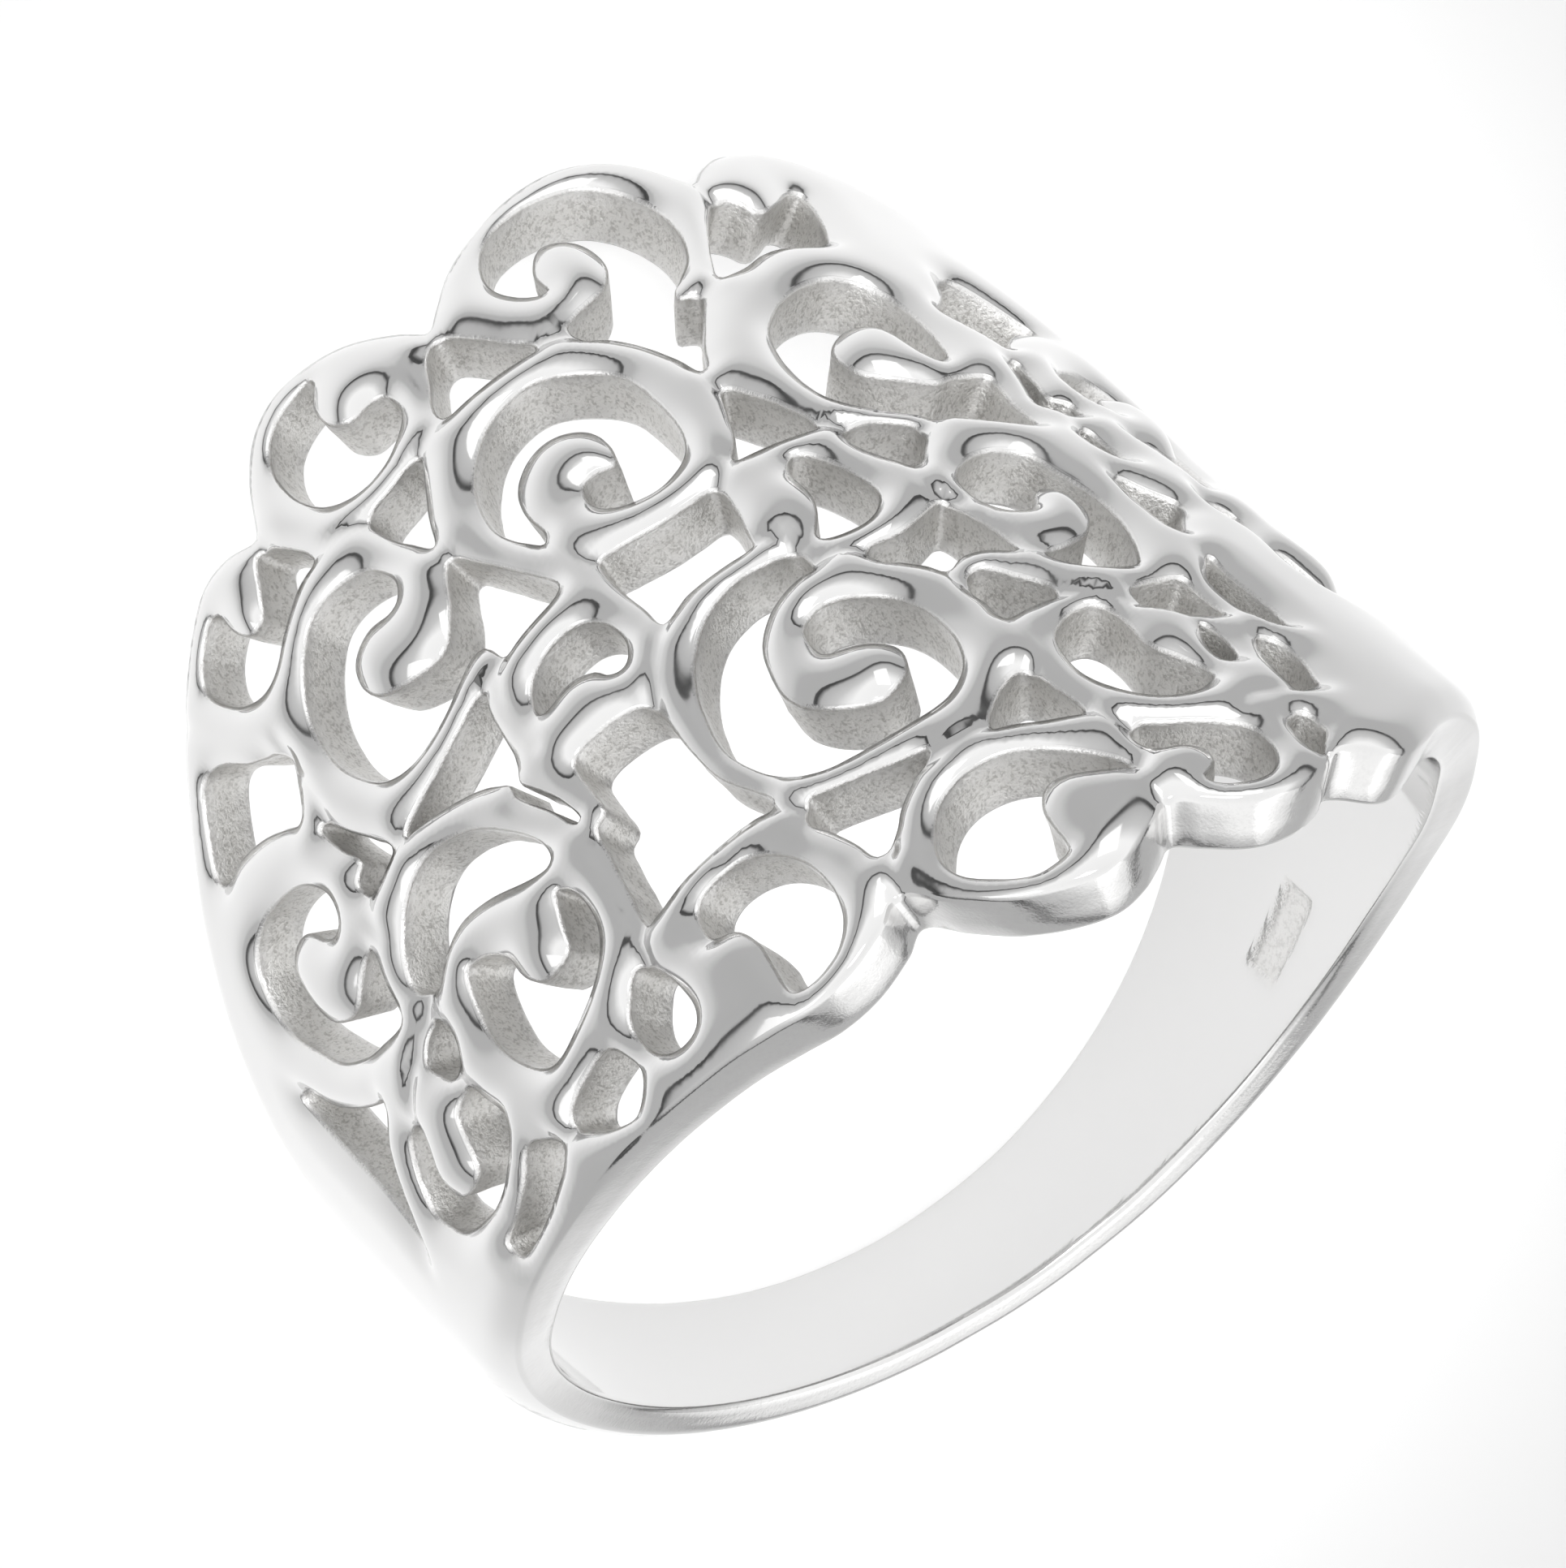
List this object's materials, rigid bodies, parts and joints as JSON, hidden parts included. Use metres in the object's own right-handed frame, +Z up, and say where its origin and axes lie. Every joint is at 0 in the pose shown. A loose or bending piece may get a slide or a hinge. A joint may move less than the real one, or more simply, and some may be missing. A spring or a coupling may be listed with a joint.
{
  "type": "openwork finger ring",
  "caption": "Wide finger ring in cast silver whose lens-shaped front is pierced with scrollwork and narrows to a plain band at the back, lying on its side.",
  "frame": {"origin": "middle of the footprint on the floor the ring lies on, as it rests on its side", "axes": "+Z up; +X towards the openwork crown; the finger hole runs upwards in the XZ plane, leaning 23.6 degrees from +Z towards -X"},
  "size_m": [0.0226, 0.0198, 0.0208],
  "materials": {
    "silver": "polished"
  },
  "bodies": {
    "root": {"filigree_ring": "silver"}
  },
  "joints": []
}
